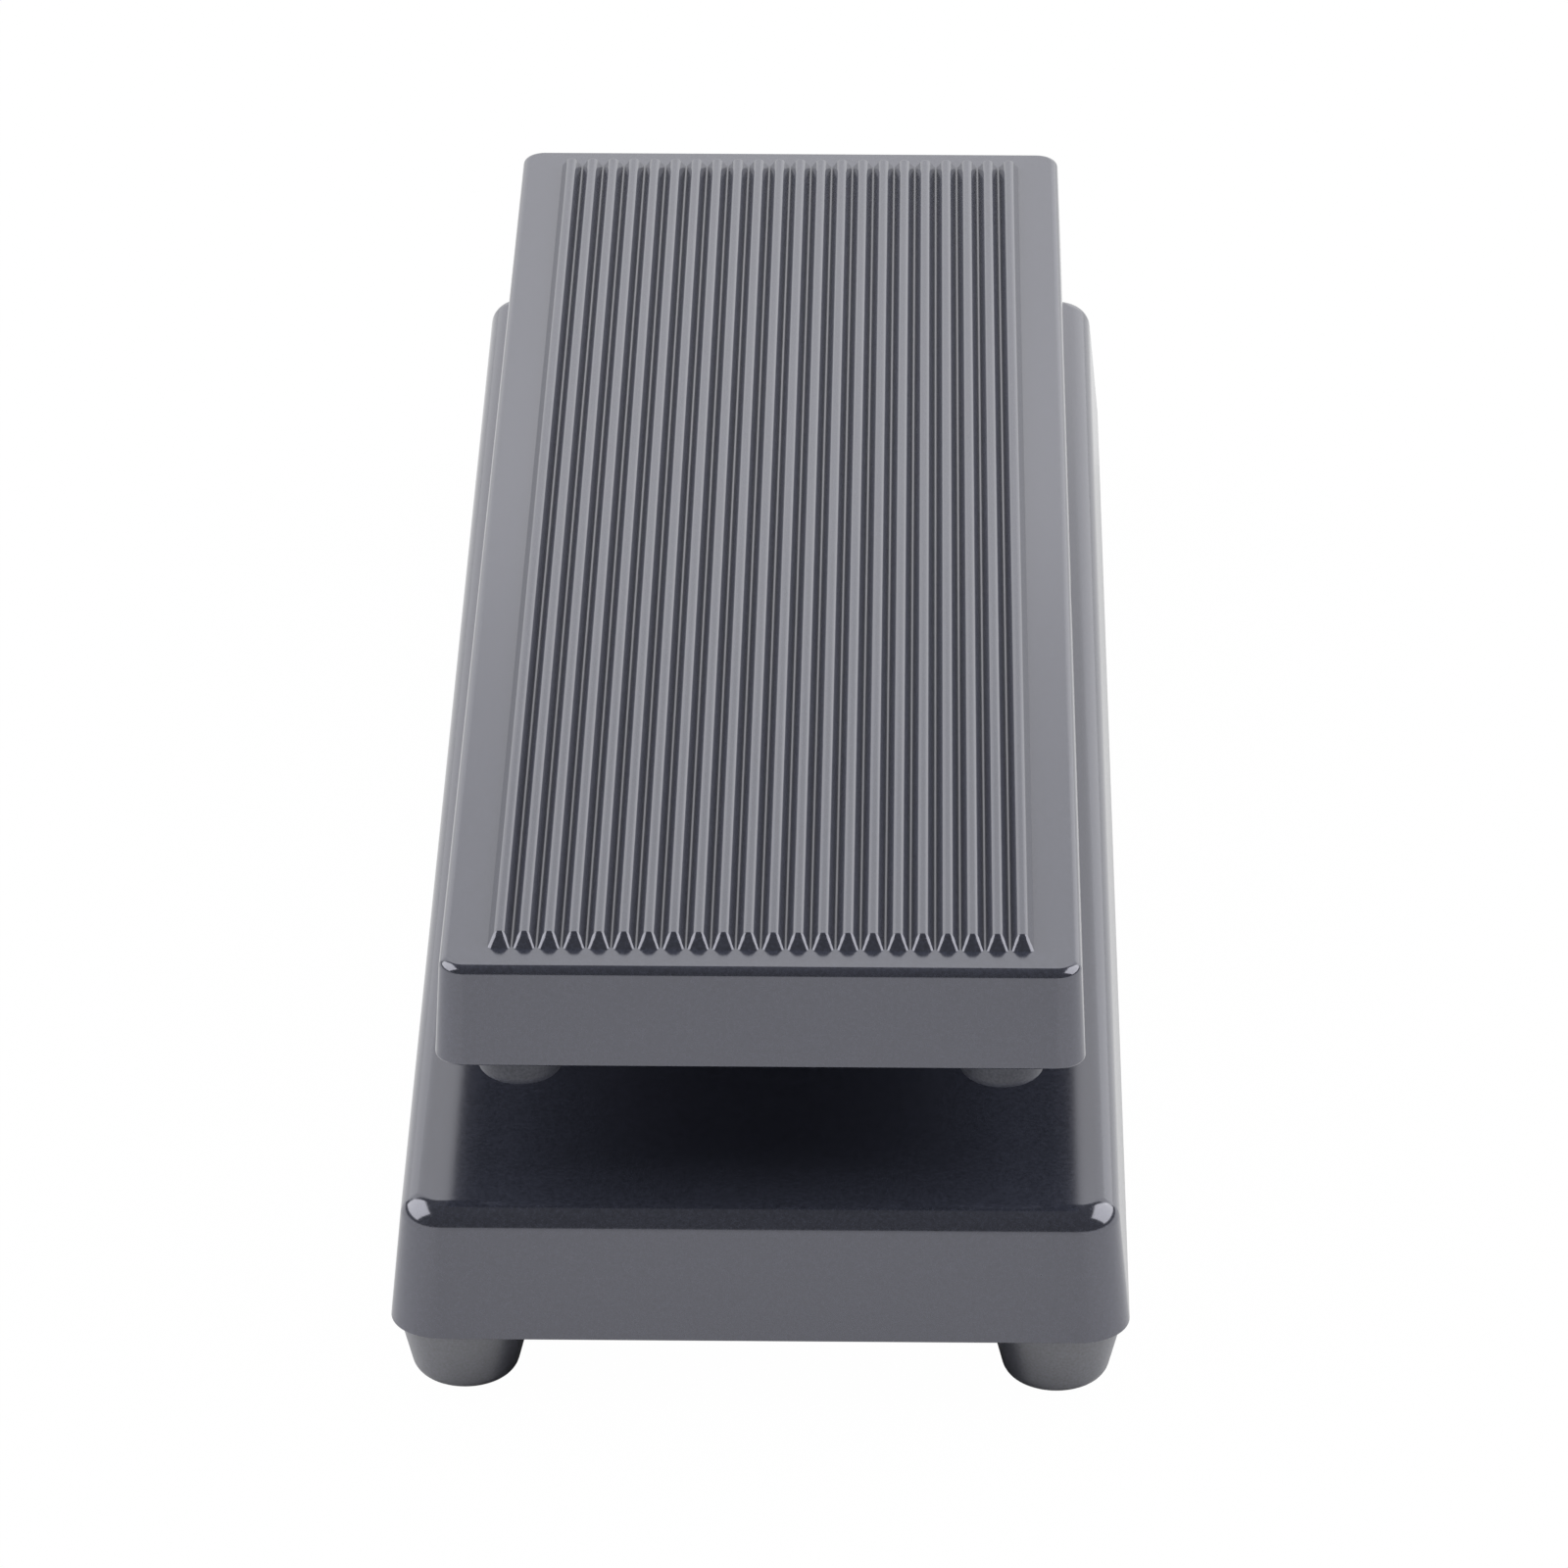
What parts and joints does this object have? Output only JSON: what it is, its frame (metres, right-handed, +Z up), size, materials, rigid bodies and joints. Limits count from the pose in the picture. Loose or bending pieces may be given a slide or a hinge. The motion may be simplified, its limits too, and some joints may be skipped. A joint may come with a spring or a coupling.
{
  "type": "volume pedal",
  "caption": "Foot volume pedal: a long ribbed treadle rocks on a cross axle above a low base and turns a potentiometer through a gear sector; plug sockets in the toe end.",
  "frame": {"origin": "on the floor under the middle of the base", "axes": "+Z up, +Y from the heel end to the toe end, +X to the player's right"},
  "size_m": [0.0826, 0.255, 0.0533],
  "materials": {
    "graphite_plastic": "satin, fine mould texture",
    "black_rubber": "matt",
    "black_plastic": "satin",
    "white_nylon": "satin",
    "brass": "turned",
    "red_insulation": "smooth",
    "white_insulation": "smooth",
    "black_insulation": "smooth",
    "plate_steel": "black powder coat",
    "bright_steel": "zinc plated"
  },
  "bodies": {
    "base": {"base_casing": "graphite_plastic", "bottom_plate": "plate_steel", "plate_screws": "bright_steel", "foot_heel_left": "black_rubber", "foot_heel_right": "black_rubber", "foot_toe_left": "black_rubber", "foot_toe_right": "black_rubber", "foot_screws": "bright_steel", "pivot_housing": "graphite_plastic", "housing_screws": "bright_steel", "pivot_bush_left": "brass", "pivot_bush_right": "brass", "pot_bracket": "bright_steel", "bracket_screws": "bright_steel", "pot_body": "bright_steel", "pot_washer": "bright_steel", "pot_nut": "bright_steel", "input_jack": "black_plastic", "output_jack": "black_plastic", "input_jack_washer": "bright_steel", "output_jack_washer": "bright_steel", "input_jack_nut": "bright_steel", "output_jack_nut": "bright_steel", "input_lead": "red_insulation", "output_lead": "white_insulation", "ground_lead": "black_insulation", "ground_link": "black_insulation"},
    "treadle": {"treadle": "graphite_plastic", "pivot_axle": "bright_steel", "axle_clips": "bright_steel", "friction_washers": "white_nylon", "bumper_heel_left": "black_rubber", "bumper_heel_right": "black_rubber", "bumper_toe_left": "black_rubber", "bumper_toe_right": "black_rubber", "gear_sector": "white_nylon", "sector_screws": "bright_steel"},
    "pot_shaft": {"pot_shaft": "bright_steel", "drive_pinion": "brass", "pinion_set_screw": "bright_steel"}
  },
  "joints": [
    {"name": "treadle_rock", "type": "hinge", "parent": "base", "child": "treadle", "pos_m": [0, 0, 0.0382], "axis": [1, 0, 0], "range_deg": [-2.7, 5.5]},
    {"name": "pot_turn", "type": "hinge", "parent": "base", "child": "pot_shaft", "pos_m": [0, 0.0522, 0.02025], "axis": [1, 0, 0], "range_deg": [-72.4, 36.6]}
  ],
  "couplings": [
    {"joint": "pot_turn", "follows": "treadle_rock", "ratio": -12.8}
  ]
}
